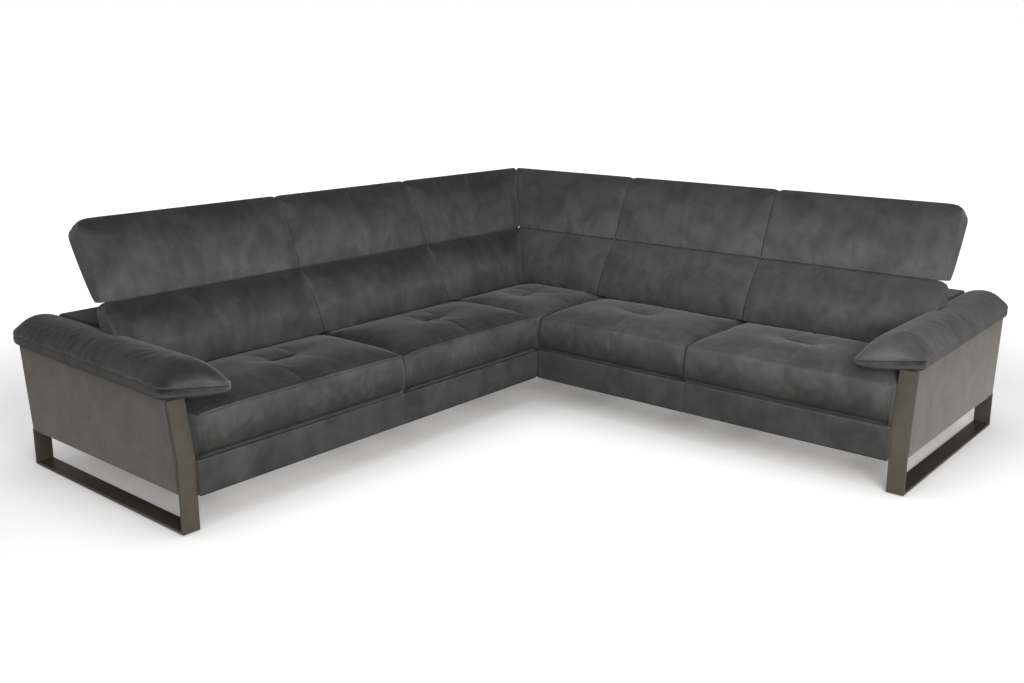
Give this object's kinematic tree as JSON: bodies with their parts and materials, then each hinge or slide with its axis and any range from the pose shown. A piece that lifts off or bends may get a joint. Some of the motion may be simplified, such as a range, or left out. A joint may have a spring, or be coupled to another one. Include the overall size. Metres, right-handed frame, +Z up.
{
  "type": "corner sofa",
  "caption": "Corner sofa with padded seats and backs, tilting headrests, padded arms and flat-bar sled legs; seats five in an L.",
  "frame": {"origin": "on the floor, under the middle of the whole sofa", "axes": "+Z up; the right wing runs along +X with its seats facing -Y, the left wing along -Y with its seats facing +X, and the corner is at -X, +Y"},
  "size_m": [2.896, 3.062, 1.0077],
  "materials": {
    "velvet": "matte",
    "webbing": "matte",
    "bronze_steel": "satin",
    "black_steel": "satin",
    "zinc_steel": "satin",
    "timber": "matte",
    "felt": "matte",
    "black_plastic": "matte"
  },
  "bodies": {
    "sofa": {"corner_back_cover": "velvet", "corner_back_frame": "timber", "corner_base_frame": "timber", "corner_plinth_post": "velvet", "corner_seat_cushion": "velvet", "corner_seat_webbing": "webbing", "floor_glides": "felt", "left_arm_pad": "velvet", "left_arm_panel": "velvet", "left_back_cover": "velvet", "left_back_cushion_1": "velvet", "left_back_cushion_2": "velvet", "left_back_cushion_3": "velvet", "left_back_frame": "timber", "left_base_frame": "timber", "left_front_rail": "velvet", "left_hinge_brackets": "black_steel", "left_seat_cushion_1": "velvet", "left_seat_cushion_2": "velvet", "left_seat_webbing": "webbing", "left_sled_leg": "bronze_steel", "leg_bolts": "zinc_steel", "right_arm_pad": "velvet", "right_arm_panel": "velvet", "right_back_cover": "velvet", "right_back_cushion_1": "velvet", "right_back_cushion_2": "velvet", "right_back_cushion_3": "velvet", "right_back_frame": "timber", "right_base_frame": "timber", "right_front_rail": "velvet", "right_hinge_brackets": "black_steel", "right_seat_cushion_1": "velvet", "right_seat_cushion_2": "velvet", "right_seat_webbing": "webbing", "right_sled_leg": "bronze_steel", "support_feet": "black_plastic"},
    "left_head_1": {"left_headrest_1": "velvet", "left_headrest_arms_1": "black_steel", "left_headrest_board_1": "timber"},
    "left_head_2": {"left_headrest_2": "velvet", "left_headrest_arms_2": "black_steel", "left_headrest_board_2": "timber"},
    "left_head_3": {"left_headrest_3": "velvet", "left_headrest_arms_3": "black_steel", "left_headrest_board_3": "timber"},
    "right_head_1": {"right_headrest_1": "velvet", "right_headrest_arms_1": "black_steel", "right_headrest_board_1": "timber"},
    "right_head_2": {"right_headrest_2": "velvet", "right_headrest_arms_2": "black_steel", "right_headrest_board_2": "timber"},
    "right_head_3": {"right_headrest_3": "velvet", "right_headrest_arms_3": "black_steel", "right_headrest_board_3": "timber"}
  },
  "joints": [
    {"name": "left_headrest_1_fold", "type": "hinge", "parent": "sofa", "child": "left_head_1", "pos_m": [-1.025, -0.944, 0.664], "axis": [0, -1, 0], "range_deg": [0, 62]},
    {"name": "left_headrest_2_fold", "type": "hinge", "parent": "sofa", "child": "left_head_2", "pos_m": [-1.025, -0.085, 0.664], "axis": [0, -1, 0], "range_deg": [0, 62]},
    {"name": "left_headrest_3_fold", "type": "hinge", "parent": "sofa", "child": "left_head_3", "pos_m": [-1.025, 0.697, 0.664], "axis": [0, -1, 0], "range_deg": [0, 62]},
    {"name": "right_headrest_1_fold", "type": "hinge", "parent": "sofa", "child": "right_head_1", "pos_m": [0.9095, 1.108, 0.664], "axis": [-1, 0, 0], "range_deg": [0, 62]},
    {"name": "right_headrest_2_fold", "type": "hinge", "parent": "sofa", "child": "right_head_2", "pos_m": [0.087, 1.108, 0.664], "axis": [-1, 0, 0], "range_deg": [0, 62]},
    {"name": "right_headrest_3_fold", "type": "hinge", "parent": "sofa", "child": "right_head_3", "pos_m": [-0.6605, 1.108, 0.664], "axis": [-1, 0, 0], "range_deg": [0, 62]}
  ]
}
